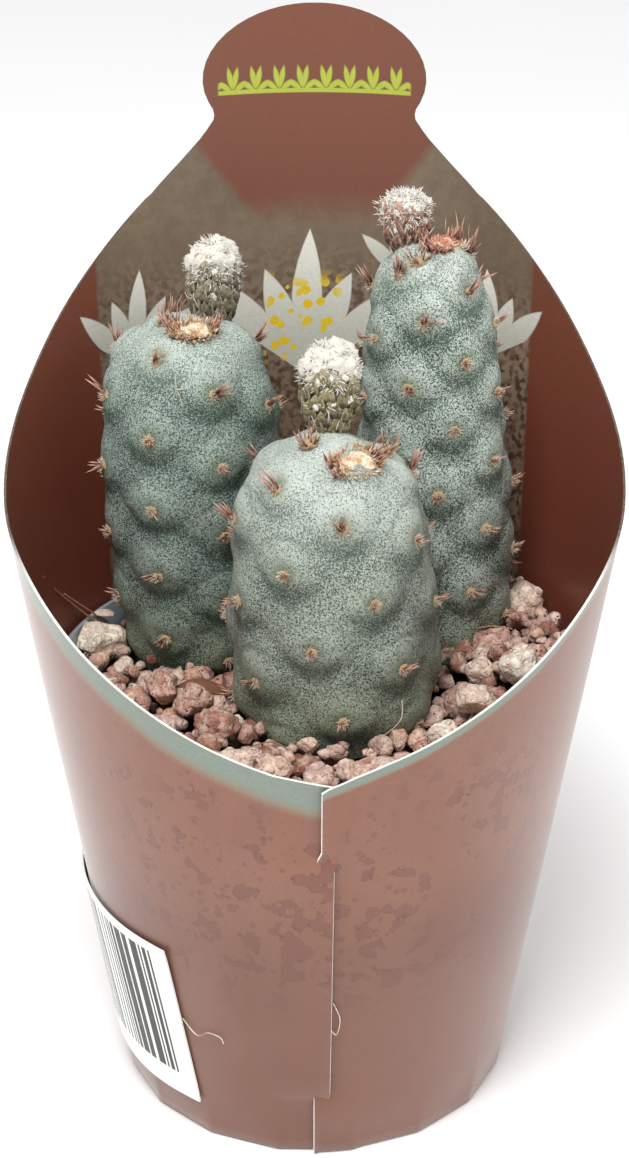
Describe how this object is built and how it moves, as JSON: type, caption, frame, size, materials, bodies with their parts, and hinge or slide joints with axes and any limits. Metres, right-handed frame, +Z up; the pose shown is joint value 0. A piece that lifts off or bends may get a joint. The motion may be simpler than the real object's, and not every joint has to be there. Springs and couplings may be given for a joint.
{
  "type": "potted tephrocactus strobiliformis",
  "caption": "Potted cactus with three spined cylindrical stems and cone-like woolly buds, in a gravel-topped nursery pot held by a tapered card sleeve with a tall back.",
  "frame": {"origin": "centre of the bounding box on the surface that the sleeve stands on", "axes": "+Z up, -Y towards the low front of the sleeve with its seam, +Y towards the tall back with its oval head, +X to the right seen from the front"},
  "size_m": [0.0736, 0.0778, 0.1259],
  "materials": {
    "card": "satin",
    "label": "satin",
    "pot": "satin",
    "soil": "matte",
    "gravel": "matte",
    "stem": "matte",
    "bud": "matte",
    "wool": "matte",
    "crown": "matte"
  },
  "bodies": {
    "root": {"sleeve": "card", "label": "label", "pot": "pot", "soil": "soil", "gravel": "gravel", "stem_front": "stem", "stem_left": "stem", "stem_right": "stem", "bud_front": "bud", "bud_left": "bud", "bud_right": "bud", "wool_front": "wool", "wool_left": "wool", "wool_right": "wool", "crown_front": "crown", "crown_left": "crown", "crown_right": "crown"}
  },
  "joints": []
}
